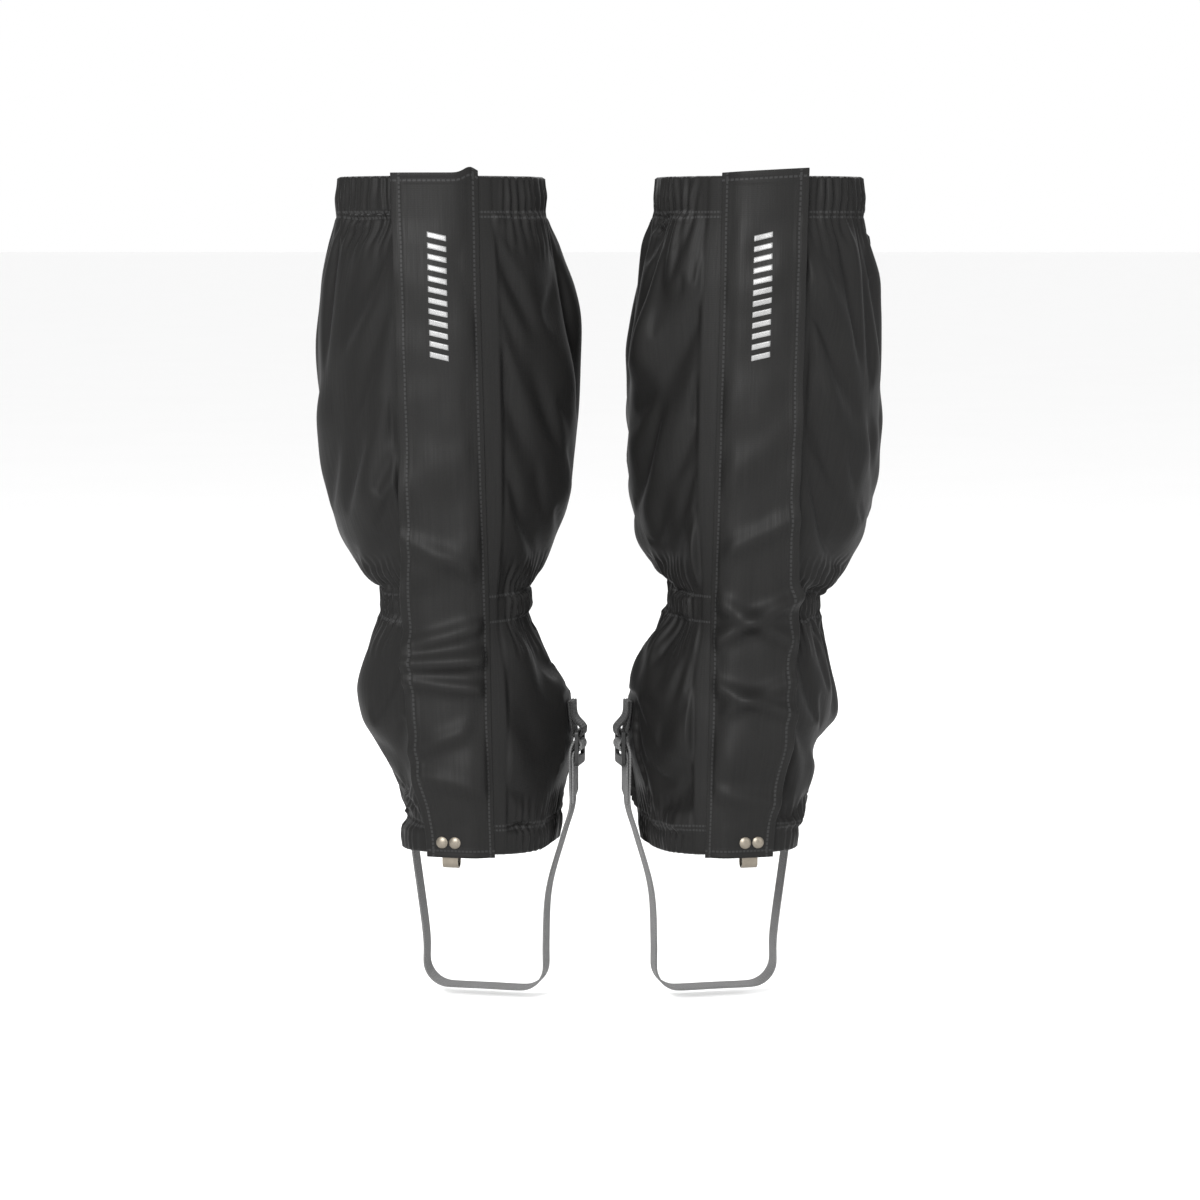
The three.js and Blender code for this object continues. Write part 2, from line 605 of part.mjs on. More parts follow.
function gaiter(side) {
  const leg = new THREE.Group();
  const named = ([name, geometry, material]) => {
    const mesh = new THREE.Mesh(geometry, material());
    mesh.name = `${name}_${side}`;
    return mesh;
  };
  leg.add(...onLeg.map(named));
  const strap = new THREE.Group();
  strap.rotation.z = TOE_OUT;
  strap.position.set(along.x * strapPlane, along.y * strapPlane, 0);
  strap.add(...strapGroup.map(named));
  leg.add(strap);
  return leg;
}

const pair = new THREE.Group();
const left = gaiter("left");
const right = gaiter("right");
right.scale.x = -1;
pair.add(left, right);
export default pair;
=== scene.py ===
# A pair of worn trekking gaiters in black nylon, each with a gathered sleeve, a front flap, a lace
# hook and an under-foot strap. Metres, +Z up, toes towards -Y, the wearer's left gaiter at +X.
import math

import bmesh
import bpy
import numpy as np
from mathutils import Matrix, Vector
from mathutils.bvhtree import BVHTree


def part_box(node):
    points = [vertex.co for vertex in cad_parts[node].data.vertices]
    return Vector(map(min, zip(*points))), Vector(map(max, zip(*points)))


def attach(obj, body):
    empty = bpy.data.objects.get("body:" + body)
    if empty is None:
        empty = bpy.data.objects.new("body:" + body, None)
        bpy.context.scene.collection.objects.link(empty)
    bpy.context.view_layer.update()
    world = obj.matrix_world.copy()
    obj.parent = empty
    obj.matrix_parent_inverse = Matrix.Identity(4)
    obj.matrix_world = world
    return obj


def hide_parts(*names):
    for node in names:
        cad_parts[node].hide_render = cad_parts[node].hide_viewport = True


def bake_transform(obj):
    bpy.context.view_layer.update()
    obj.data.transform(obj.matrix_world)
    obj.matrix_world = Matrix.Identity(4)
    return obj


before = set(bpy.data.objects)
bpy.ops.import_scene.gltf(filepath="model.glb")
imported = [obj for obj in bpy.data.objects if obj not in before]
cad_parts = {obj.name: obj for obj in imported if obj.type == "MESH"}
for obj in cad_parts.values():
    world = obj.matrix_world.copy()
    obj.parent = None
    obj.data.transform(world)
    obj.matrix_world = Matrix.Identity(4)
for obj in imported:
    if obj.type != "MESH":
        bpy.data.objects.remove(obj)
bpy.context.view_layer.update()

# ---- Fabric sleeve ----
# One panel of coated black nylon, about half a metre wide, drawn in by elastic at the top, the
# ankle and the hem, and open down the front under the flap. Hems are turned in and topstitched.
TOE_OUT = math.radians(12)
HEM_Z = 0.106
HEIGHT = 0.424
ANKLE_AT = 0.157
ANKLE_HALF = 0.008
TOP_BAND = 0.024
HEM_BAND = 0.016

# Shape that the bands and the leg give it: height above the hem, inner and outer edge, front,
# back, squareness, share of the toe-out.
FORM = np.array([
    (0.000, 0.0310, 0.1210, -0.0780, 0.062, 2.9, 1.0),
    (0.016, 0.0300, 0.1210, -0.0780, 0.064, 2.9, 1.0),
    (0.034, 0.0260, 0.1250, -0.0780, 0.070, 2.6, 1.0),
    (0.054, 0.0205, 0.1310, -0.0770, 0.077, 2.3, 1.0),
    (0.070, 0.0170, 0.1390, -0.0760, 0.080, 2.2, 1.0),
    (0.086, 0.0180, 0.1520, -0.0750, 0.081, 2.2, 0.8),
    (0.104, 0.0210, 0.1560, -0.0730, 0.080, 2.2, 0.6),
    (0.128, 0.0300, 0.1500, -0.0710, 0.074, 2.2, 0.3),
    (0.149, 0.0450, 0.1390, -0.0680, 0.059, 2.3, 0.1),
    (0.165, 0.0450, 0.1390, -0.0680, 0.059, 2.3, 0.0),
    (0.180, 0.0370, 0.1520, -0.0690, 0.067, 2.2, 0.0),
    (0.205, 0.0260, 0.1680, -0.0700, 0.078, 2.1, 0.0),
    (0.245, 0.0190, 0.1770, -0.0710, 0.086, 2.1, 0.0),
    (0.307, 0.0160, 0.1800, -0.0710, 0.088, 2.1, 0.0),
    (0.356, 0.0185, 0.1820, -0.0700, 0.085, 2.1, 0.0),
    (0.382, 0.0260, 0.1770, -0.0670, 0.078, 2.1, 0.0),
    (0.400, 0.0350, 0.1670, -0.0645, 0.071, 2.1, 0.0),
    (0.424, 0.0360, 0.1660, -0.0640, 0.070, 2.1, 0.0),
])


def between_forms(h, column):
    """A quantity of FORM at heights h, on a smooth curve that never overshoots."""
    known, value = FORM[:, 0], FORM[:, column]
    rise = np.diff(value) / np.diff(known)
    product = rise[:-1] * rise[1:]
    total = np.where(product > 0, rise[:-1] + rise[1:], 1)
    slope = np.concatenate([[0], np.where(product > 0, 2 * product / total, 0), [0]])
    i = np.clip(np.searchsorted(known, h) - 1, 0, len(known) - 2)
    span = known[i + 1] - known[i]
    t = np.clip((h - known[i]) / span, 0, 1)
    return (value[i] * (1 + 2 * t) * (1 - t) ** 2 + value[i + 1] * t * t * (3 - 2 * t)
            + span * t * (1 - t) * (slope[i] * (1 - t) - slope[i + 1] * t))


def on_form(h, angle, offset=0.0):
    """Points at heights h and angles round the leg (0 in front), offset outwards."""
    inner, outer, front, back, power, turn = (between_forms(h, k) for k in range(1, 7))
    sin, cos = np.sin(angle), np.cos(angle)
    half_x, half_y = (outer - inner) / 2, (back - front) / 2
    x = half_x * np.sign(sin) * np.abs(sin) ** (2 / power)
    y = -half_y * np.sign(cos) * np.abs(cos) ** (2 / power)
    out_x = np.sign(sin) * np.abs(sin) ** (2 - 2 / power) / half_x
    out_y = -np.sign(cos) * np.abs(cos) ** (2 - 2 / power) / half_y
    length = np.hypot(out_x, out_y)
    x, y = x + offset * out_x / length, y + offset * out_y / length
    turned = turn * TOE_OUT
    tilt = 0.006 * cos * np.clip(1 - h / 0.06, 0, None)
    return np.stack([
        (inner + outer) / 2 + x * np.cos(turned) - y * np.sin(turned),
        (front + back) / 2 + x * np.sin(turned) + y * np.cos(turned),
        HEM_Z + h + tilt,
    ], -1)


def front_angle(h, x):
    """The angle at which the front of the form has this x."""
    low, high = np.full(np.shape(h), -1.4), np.full(np.shape(h), 1.4)
    for _ in range(30):
        middle = (low + high) / 2
        short = on_form(h, middle)[..., 0] < x
        low, high = np.where(short, middle, low), np.where(short, high, middle)
    return middle


def seam_x(h):
    return 0.066 + 0.0095 * h / HEIGHT


def round_leg(h, columns, start, end, offset=0.0):
    """Rows of evenly spaced points round the leg, from x = start in front to x = end."""
    first = front_angle(h, start)
    last = 2 * math.pi + front_angle(h, end)
    rows = []
    for height, a, b in zip(h, first, last):
        line = on_form(np.full(900, height), np.linspace(a, b, 900), offset)
        run = np.concatenate([[0], np.cumsum(np.linalg.norm(np.diff(line, axis=0), axis=1))])
        even = np.linspace(0, run[-1], columns)
        rows.append(np.stack([np.interp(even, run, line[:, k]) for k in range(3)], -1))
    return np.array(rows)


def piece_from(name, bm):
    """The bmesh as an object of the scene; the bmesh is used up."""
    mesh = bpy.data.meshes.new(name)
    bm.to_mesh(mesh)
    bm.free()
    piece = bpy.data.objects.new(name, mesh)
    bpy.context.collection.objects.link(piece)
    return piece


def grid_mesh(name, points, width, along):
    """A sheet whose vertices lie at points[row, column]; its UV map is the cut panel, in metres."""
    rows, columns = points.shape[:2]
    along = np.linspace(0, along, rows) if np.isscalar(along) else along
    bm = bmesh.new()
    uv = bm.loops.layers.uv.new("cut")
    bmesh.ops.create_grid(bm, x_segments=columns - 1, y_segments=rows - 1, size=0.5)
    for face in bm.faces:
        for corner in face.loops:
            row, column = divmod(corner.vert.index, columns)
            corner[uv].uv = (width * column / (columns - 1), along[row])
    piece = piece_from(name, bm)
    piece.data.vertices.foreach_set("co", points.reshape(-1).astype(np.float32))
    piece.data.update()
    return piece


def read_points(mesh, rows, columns):
    flat = np.empty(rows * columns * 3, np.float32)
    mesh.vertices.foreach_get("co", flat)
    return flat.reshape(rows, columns, 3).astype(float)


def outward(points):
    """Unit normals of a grid of points, pointing away from the leg."""
    normal = np.cross(np.gradient(points, axis=1), np.gradient(points, axis=0))
    return normal / np.maximum(np.linalg.norm(normal, axis=2, keepdims=True), 1e-9)


def smooth_noise(shape, seed, passes):
    field = np.random.default_rng(seed).normal(0, 1, shape)
    for _ in range(passes):
        padded = np.pad(field, 1, mode="edge")
        field = (padded[1:-1, 1:-1] + padded[2:, 1:-1] + padded[:-2, 1:-1]
                 + padded[1:-1, 2:] + padded[1:-1, :-2]) / 5
    return field / field.std()


def leg_centre(h):
    inner, outer, front, back = (float(between_forms(np.array(h), k)) for k in (1, 2, 3, 4))
    return np.array(((inner + outer) / 2, (front + back) / 2))


# The strap and its buckle lie in an upright plane, turned as the foot is.
ACROSS = np.array((math.cos(TOE_OUT), math.sin(TOE_OUT)))
ALONG = np.array((-math.sin(TOE_OUT), math.cos(TOE_OUT)))
STRAP_CENTRE = leg_centre(0.064)
STRAP_PLANE = float(STRAP_CENTRE @ ALONG)
# Half width and top of the patch that the strap's sewn end keeps flat, and the same for the
# buckle's. Below PIVOT_UP both patches widen, for the strap's swing.
SEWN_HALF, SEWN_UP = 0.0120, 0.074
BUCKLE_HALF, BUCKLE_UP = 0.0130, 0.098
PIVOT_UP, SWING_SLOPE = 0.056, 0.45


def under_strap(h, points):
    """The patches that the strap's sewn end, on the outer side, and the buckle hold flat."""
    near = np.abs(points[..., :2] @ ALONG - STRAP_PLANE)
    outside = points[..., :2] @ ACROSS > float(STRAP_CENTRE @ ACROSS)
    height = h[:, None]
    swing = SWING_SLOPE * np.clip(PIVOT_UP - height, 0, None)
    return np.where(outside, (near < SEWN_HALF + swing) & (height < SEWN_UP),
                    (near < BUCKLE_HALF + swing) & (height < BUCKLE_UP))


COLUMNS, ROWS = 190, 124
PANEL_WIDTH = 0.51
PANEL_TURN = 6.2
SLIT = (0.009, 0.004)
UNDERLAP_COLUMNS, SEAM_COLUMNS = 18, 8
START_FOLD = 0.0027
CALF_CUT = 0.505
FRAMES = 24
# The panel is cut taller than it is worn, band by band, and a little narrower at the foot; the
# leg form inside stands clear of the fitted shape. Each is a curve over the height.
SPARE_AT = (0, 0.02, 0.05, 0.10, 0.14, 0.157, 0.175, 0.21, 0.25, 0.33, 0.38, 0.424)
SPARE = (1, 1.06, 1.15, 1.18, 1.12, 1.0, 1.16, 1.12, 1.06, 1.05, 1.10, 1)
CUT_AT = (0, 0.09, 0.16, 0.25, 0.424)
CUT_ROUND = (0.47, 0.50, 0.49, CALF_CUT, CALF_CUT)
SLACK_AT = (0, 0.03, 0.07, 0.10, 0.14, 0.157, 0.18, 0.25, 0.38, 0.41, 0.424)
SLACK = (0.003, 0.008, 0.014, 0.016, 0.010, 0.003, 0.008, 0.012, 0.009, 0.004, 0.004)


def leg_form(h):
    """The shape inside the sleeve, which the cloth collides with."""
    limb = round_leg(h, 60, seam_x(h) + SLIT[0], seam_x(h) + SLIT[1])
    centre = limb.mean(1, keepdims=True)[..., :2]
    arm = limb[..., :2] - centre
    slack = np.interp(h, SLACK_AT, SLACK)[:, None, None]
    limb[..., :2] = centre + arm * (1 - slack / np.linalg.norm(arm, axis=2, keepdims=True))
    leg = grid_mesh("leg", limb, 1, 1)
    leg.modifiers.new("hit", "COLLISION")
    leg.collision.thickness_outer = 0.001
    return leg


def cloth_sleeve(seed, bend, grain):
    """Drapes the panel round a leg form, held at its bands, its placket and under the strap."""
    h = np.linspace(0, HEIGHT, ROWS)
    points = round_leg(h, COLUMNS, seam_x(h) + SLIT[0], seam_x(h) + SLIT[1])
    band = (h < HEM_BAND) | (np.abs(h - ANKLE_AT) < ANKLE_HALF) | (h > HEIGHT - TOP_BAND)
    column = np.arange(COLUMNS)
    placket = (column < UNDERLAP_COLUMNS) | (column > COLUMNS - SEAM_COLUMNS)
    held = band[:, None] | placket[None, :] | under_strap(h, points)
    fold = START_FOLD * smooth_noise((ROWS, COLUMNS), seed, grain) * ~held
    start = points + outward(points) * fold[..., None]

    piece = grid_mesh("panel", start, PANEL_WIDTH, HEIGHT)

    piece.shape_key_add(name="worn")
    cut = piece.shape_key_add(name="cut")
    spare = np.interp((h[1:] + h[:-1]) / 2, SPARE_AT, SPARE)
    along = np.concatenate([[0], np.cumsum(np.diff(h) * spare)])
    radius = np.interp(h, CUT_AT, CUT_ROUND) / PANEL_TURN
    turn = np.linspace(0, PANEL_TURN, COLUMNS)
    flat = np.stack([
        radius[:, None] * np.sin(turn),
        -radius[:, None] * np.cos(turn),
        np.repeat(along[:, None], COLUMNS, 1),
    ], -1)
    cut.data.foreach_set("co", flat.reshape(-1).astype(np.float32))
    cut.value = 0

    group = piece.vertex_groups.new(name="held")
    group.add([int(i) for i in np.flatnonzero(held)], 1.0, "REPLACE")
    cloth = piece.modifiers.new("cloth", "CLOTH")
    stuff = cloth.settings
    stuff.quality = 6
    stuff.mass = 0.15
    stuff.air_damping = 2
    stuff.tension_stiffness = 40
    stuff.compression_stiffness = 20
    stuff.shear_stiffness = 4
    stuff.bending_stiffness = bend
    stuff.vertex_group_mass = "held"
    stuff.use_pressure = True
    stuff.uniform_pressure_force = 40
    stuff.effector_weights.gravity = 0.8
    stuff.rest_shape_key = cut
    cloth.collision_settings.distance_min = 0.001

    leg = leg_form(h[::3])
    for step in range(1, FRAMES + 1):
        bpy.context.scene.frame_set(step)
    worn = piece.evaluated_get(bpy.context.evaluated_depsgraph_get())
    draped = read_points(worn.data, ROWS, COLUMNS)
    bpy.data.objects.remove(leg)
    bpy.data.objects.remove(piece)
    bpy.context.scene.frame_set(1)
    return h, draped


def refined(grid):
    """Twice as many steps along the first axis, on a smooth curve through the points."""
    first, last = 2 * grid[:1] - grid[1:2], 2 * grid[-1:] - grid[-2:-1]
    padded = np.concatenate([first, grid, last])
    out = np.empty((2 * len(grid) - 1,) + grid.shape[1:])
    out[::2] = grid
    out[1::2] = (9 * (padded[1:-2] + padded[2:-1]) - padded[:-3] - padded[3:]) / 16
    return out


def bump_at(value, centre, width):
    return np.exp(-((value - centre) / width) ** 2)


PLEATS = 62


def gathered(h, points, seed):
    """Adds the small pleats that the elastics draw the cloth into, and the pinch of each seam."""
    rows, columns = points.shape[:2]
    share = np.linspace(0, 1, columns)[None, :]
    height = h[:, None]
    drift = smooth_noise((rows, columns), seed, 60) * 0.20
    size = 1 + 0.30 * smooth_noise((rows, columns), seed + 1, 40)
    wave = np.cos(2 * math.pi * (PLEATS * share + drift))
    top = np.interp(HEIGHT - height, (0, 0.012, 0.026, 0.052), (0.85, 1.25, 0.9, 0))
    ankle = np.interp(abs(height - ANKLE_AT), (0, 0.006, 0.012, 0.034), (0.9, 1.2, 0.9, 0))
    hem = np.interp(height, (0, 0.008, 0.018, 0.040), (0.6, 0.9, 0.8, 0))
    clear = np.clip((share - 0.09) / 0.03, 0, 1) * np.clip((0.955 - share) / 0.02, 0, 1)
    facing = 0.0006 * np.clip((share - 0.967) / 0.002, 0, 1)
    fold = 0.001 * (top + ankle + hem) * size * wave * clear
    pinch = 0.0007 * sum(bump_at(height, seam, 0.0016) for seam in (
        HEIGHT - TOP_BAND, ANKLE_AT - ANKLE_HALF, ANKLE_AT + ANKLE_HALF, HEM_BAND + 0.001))
    puff = 0.0008 * (bump_at(height, HEIGHT - 0.012, 0.008) + bump_at(height, ANKLE_AT, 0.006)
                     + bump_at(height, 0.008, 0.006))
    return points + outward(points) * (fold + facing + (puff - pinch) * clear)[..., None]


HEM_WALL = 0.0033


def turned_in(points, inward, depth, wall):
    """Rows that carry the last row over and back inside, as a turned hem does."""
    back = points[-1 - depth] - points[-1]
    step = back / np.linalg.norm(back, axis=1, keepdims=True)
    edge = points[-1]
    return np.concatenate([points, [
        edge + inward * wall * 0.5 - step * wall * 0.35,
        edge + inward * wall + step * 0.0005,
        edge + inward * wall * 1.15 + step * 0.004,
        edge + inward * wall * 1.15 + back,
    ]])


def finished_sleeve(seed, bend, grain):
    """Heights of the rows, and the sleeve's points with its pleats and both hems."""
    h, draped = cloth_sleeve(seed, bend, grain)
    points = refined(refined(draped).swapaxes(0, 1)).swapaxes(0, 1)
    h = refined(h)
    points = gathered(h, points, seed + 10)
    inward = -outward(points)
    points = turned_in(points, inward[-1], 12, HEM_WALL)
    points = turned_in(points[::-1], inward[0], 9, HEM_WALL)[::-1]
    turn = np.array((0.001, 0.002, 0.005, 0.022))
    return np.concatenate([-turn[::-1], h, HEIGHT + turn]), points


FLIP = {"left": 1, "right": -1}


def for_side(piece, side):
    """The piece for that leg: for the right one, flipped across the middle and right side out."""
    if side == "right":
        piece.data.transform(Matrix.Diagonal((-1, 1, 1, 1)))
        piece.data.flip_normals()
    return piece


def smooth_faces(piece, angle=None):
    piece.data.polygons.foreach_set("use_smooth", [True] * len(piece.data.polygons))
    if angle is not None:
        piece.data.set_sharp_from_angle(angle=math.radians(angle))
    return piece


class Wire:
    """A socket that takes part in sums: an expression on it adds the Math nodes."""

    def __init__(self, tree, socket):
        self.tree, self.socket = tree, socket

    def math(self, operation, *others):
        node = self.tree.nodes.new("ShaderNodeMath")
        node.operation = operation
        for slot, value in zip(node.inputs, others):
            plug(self.tree, slot, value)
        return Wire(self.tree, node.outputs[0])

    def __add__(self, other):
        return self.math("ADD", self, other)

    def __radd__(self, other):
        return self.math("ADD", other, self)

    def __sub__(self, other):
        return self.math("SUBTRACT", self, other)

    def __rsub__(self, other):
        return self.math("SUBTRACT", other, self)

    def __mul__(self, other):
        return self.math("MULTIPLY", self, other)

    def __rmul__(self, other):
        return self.math("MULTIPLY", other, self)

    def __truediv__(self, other):
        return self.math("DIVIDE", self, other)

    def __rtruediv__(self, other):
        return self.math("DIVIDE", other, self)

    def sin(self):
        return self.math("SINE", self)

    def abs(self):
        return self.math("ABSOLUTE", self)

    def less(self, other):
        return self.math("LESS_THAN", self, other)

    def wrap(self, high):
        return self.math("WRAP", self, high, 0.0)

    def clamped(self):
        return self.math("MINIMUM", self.math("MAXIMUM", self, 0.0), 1.0)


def plug(tree, slot, value):
    if isinstance(value, Wire):
        tree.links.new(value.socket, slot)
    else:
        slot.default_value = value


class Finish:
    """A material under construction, with one Principled shader."""

    def __init__(self, name, **constants):
        self.material = bpy.data.materials.new(name)
        self.material.use_nodes = True
        self.tree = self.material.node_tree
        self.shader = self.tree.nodes["Principled BSDF"]
        self.fill(self.shader, constants)

    def fill(self, node, values):
        for name, value in values.items():
            slot = next(s for s in node.inputs if s.name == name.replace("_", " ") and s.enabled)
            plug(self.tree, slot, value)

    def set(self, **values):
        self.fill(self.shader, values)

    def node(self, kind, settings=None, output=0, **values):
        """A node with its settings, then the values or links of its sockets; gives one output."""
        node = self.tree.nodes.new("ShaderNode" + kind)
        for name, value in (settings or {}).items():
            setattr(node, name, value)
        self.fill(node, values)
        return Wire(self.tree, [s for s in node.outputs if s.enabled][output])

    def uv(self):
        """Metres across and along the cut panel."""
        place = self.node("UVMap", {"uv_map": "cut"})
        return [self.node("SeparateXYZ", output=k, Vector=place) for k in (0, 1)]

    def place(self):
        """The piece's own coordinates."""
        return self.node("TexCoord", output=3)

    def noise(self, vector, scale, detail=3.0, roughness=0.55):
        return self.node("TexNoise", Vector=vector, Scale=scale, Detail=detail, Roughness=roughness)

    def mix(self, factor, first, second):
        return self.node("Mix", {"data_type": "RGBA"}, Factor=factor, A=first, B=second)

    def bump(self, height, distance, strength=1.0):
        self.set(Normal=self.node("Bump", Height=height, Distance=distance, Strength=strength))


def paint(piece, finish):
    if not piece.material_slots:
        piece.data.materials.append(None)
    piece.material_slots[0].material = finish.material
    return piece


def grey(value, warm=0.0):
    return (value * (1 + warm), value, value * (1 - warm), 1)


WARP, WEFT = 0.0009, 0.0011
STITCH_PITCH, STITCH_SHARE, THREAD_HALF = 0.0028, 0.72, 0.0007


def stitches(across, along, at):
    """1 on the threads of a lockstitch line where `along` equals `at`, else 0."""
    line = (along - at).abs().less(THREAD_HALF)
    return line * (across / STITCH_PITCH).wrap(1.0).less(STITCH_SHARE)


def black_nylon(name, dark, light, thread, rough, rows, columns=()):
    """Plain-woven nylon with a soft sheen: fine threads both ways, faint streaks along the warp,
    and lockstitched lines across the cut panel at rows, and along it at columns."""
    cloth = Finish(name, Sheen_Weight=0.012, Sheen_Roughness=0.35, Sheen_Tint=(0.85, 0.86, 0.9, 1),
                   Specular_IOR_Level=0.11)
    across, along = cloth.uv()
    weave = (across * (math.tau / WARP)).sin() * 0.5 + (along * (math.tau / WEFT)).sin() * 0.5
    streak = cloth.noise(cloth.node("CombineXYZ", X=across * 900.0, Y=along * 26.0, Z=0.0), 1.0)
    cloud = cloth.noise(cloth.place(), 16.0, 4.0)
    seams = 0.0
    for at in rows:
        seams = stitches(across, along, at) + seams
    for at in columns:
        seams = stitches(along, across, at) + seams
    shade = (cloud - 0.5) * 0.5 + (streak - 0.5) * 0.5 + 0.5
    colour = cloth.mix(shade, grey(dark, 0.02), grey(light, 0.03))
    cloth.set(Base_Color=cloth.mix(seams.clamped(), colour, grey(thread)),
              Roughness=rough - (streak - 0.5) * 0.22 + (cloud - 0.5) * 0.10)
    cloth.bump(weave * 0.10 + streak * 0.35 + seams * 0.8, 0.0003, 0.55)
    return cloth


# Lockstitched at the edges of the elastics' channels, twice at each hem.
sleeve_nylon = black_nylon("black_nylon", 0.0032, 0.0085, 0.016, 0.56, rows=(
    HEM_BAND, HEM_BAND + 0.003, ANKLE_AT - ANKLE_HALF, ANKLE_AT + ANKLE_HALF,
    HEIGHT - TOP_BAND, HEIGHT - TOP_BAND + 0.003))

SIDES = {
    "left": {"seed": 3, "bend": 12, "grain": 30},
    "right": {"seed": 8, "bend": 18, "grain": 45},
}
for side, drape in SIDES.items():
    heights, points = finished_sleeve(**drape)
    sleeve = for_side(smooth_faces(grid_mesh(f"sleeve_{side}", points, PANEL_WIDTH, heights)), side)
    paint(sleeve, sleeve_nylon)
    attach(sleeve, f"gaiter_{side}")
    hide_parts(f"fabric_sleeve_{side}")

# ---- Elastics ----
# Ribbed knitted elastic, one band inside the top hem, one at the ankle and one in the bottom hem.
# Each leaves a gap at the front opening and is caught by the channel's stitching.
ribbed = Finish("ribbed_elastic", Sheen_Weight=0.05, Specular_IOR_Level=0.2)
across, along = ribbed.uv()
ribs = (along * (math.tau / 0.0016)).sin() * 0.5 + (across * (math.tau / 0.0012)).sin() * 0.25
ribbed.set(Base_Color=ribbed.mix(ribs + 0.5, grey(0.010), grey(0.022)))
ribbed.set(Roughness=0.82 + ribs * 0.08)
ribbed.bump(ribs, 0.0003, 0.8)


def thickened(piece, thickness, bevel=0.0):
    """The sheet as the middle of a wall, with its edges rounded if there is a bevel."""
    wall = piece.modifiers.new("wall", "SOLIDIFY")
    wall.thickness = thickness
    wall.offset = 0
    if bevel:
        rounded = piece.modifiers.new("edge", "BEVEL")
        rounded.width = bevel
        rounded.segments = 2
        rounded.limit_method = "ANGLE"
        rounded.angle_limit = math.radians(50)
    return piece


ELASTICS = {"top": (0.401, 0.421), "ankle": (0.150, 0.164), "hem": (0.003, 0.015)}
for side in SIDES:
    for name, (low, high) in ELASTICS.items():
        h = np.linspace(low, high, 12)
        points = round_leg(h, 220, seam_x(h) + 0.0175, seam_x(h) - 0.0045, -0.0022)
        length = float(np.linalg.norm(np.diff(points[5], axis=0), axis=1).sum())
        band = smooth_faces(grid_mesh(f"{name}_band_{side}", points, 0.44, high - low))
        thickened(for_side(band, side), 0.001)
        paint(band, ribbed)
        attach(band, f"gaiter_{side}")
        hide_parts(f"{name}_elastic_{side}")

# ---- Closure tapes ----
# Hook tape inside the flap and loop tape on the sleeve's underlap, lockstitched along both edges.
loops = Finish("loop_tape", Sheen_Weight=0.03, Specular_IOR_Level=0.2)
fuzz = loops.noise(loops.place(), 1400.0, 5.0, 0.7)
loops.set(Base_Color=loops.mix(fuzz, grey(0.006), grey(0.02)))
loops.set(Roughness=0.9 + fuzz * 0.1)
loops.bump(fuzz, 0.0006)

hooks = Finish("hook_tape", Specular_IOR_Level=0.2)
cell = hooks.node("TexVoronoi", {"feature": "F1"}, Vector=hooks.place(), Scale=620.0, Randomness=0.35)
hooks.set(Base_Color=hooks.mix((cell * 2.2).clamped(), grey(0.02), grey(0.007)))
hooks.set(Roughness=0.45 + cell * 0.5)
hooks.bump(1.0 - cell, 0.0006)
for side in SIDES:
    paint(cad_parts[f"loop_tape_{side}"], loops)
    paint(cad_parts[f"hook_tape_{side}"], hooks)

# ---- Front flap ----
# A strip of the same nylon, doubled and topstitched, sewn to the sleeve along its inner edge and
# closed by the tapes. It follows the leg, and creases where the ankle bends.
FLAP_OVER = 0.003
FLAP_THICK = 0.0011
FLAP_TALL = HEIGHT + 2 * FLAP_OVER
FLAP_WIDE, FLAP_FOOT, FLARE_UP = 0.051, 0.040, 0.110
FLAP_STAND, TAPE_STAND = 0.0039, 0.0030
HOOK_X, RIVET_UP = 0.093, 0.0095


def ramp(t):
    """0 up to t = 0, 1 from t = 1, and a smooth step between."""
    t = np.clip(t, 0, 1)
    return t * t * (3 - 2 * t)


def flap_width(h):
    return FLAP_FOOT + (FLAP_WIDE - FLAP_FOOT) * ramp(h / FLARE_UP)


def hook_seat():
    """Where the hook's flat plate sits, the way it faces, and how far the flap curves off it."""
    floor = on_form(np.array(-FLAP_OVER), np.array(0.0))[2]
    h = (floor + RIVET_UP - HEM_Z - 0.006) / 0.9
    u = front_angle(np.array(h), HOOK_X)
    centre = on_form(h, u)
    out = (on_form(h, u, 0.001) - centre) * (1, 1, 0)
    out /= np.linalg.norm(out)
    sag = 0.0
    for across in (-0.010, 0.010):
        for up in (-0.0055, 0.0055):
            edge = on_form(h + up, front_angle(np.array(h + up), HOOK_X + across))
            sag = max(sag, -float(((edge - centre) * (1, 1, 0)) @ out))
    return centre, out, sag + 0.0003


HOOK_CENTRE, HOOK_OUT, HOOK_SEAT = hook_seat()
LOW_STAND = max(FLAP_STAND, HOOK_SEAT + 0.0026)


def flap_stand(h, x):
    """How far the flap's inside stands off the fitted shape: more over the hook, little at the seam."""
    full = LOW_STAND + (FLAP_STAND - LOW_STAND) * ramp((h - 0.020) / 0.016)
    return 0.0004 + (full - 0.0004) * ramp((x - seam_x(h)) / 0.014)


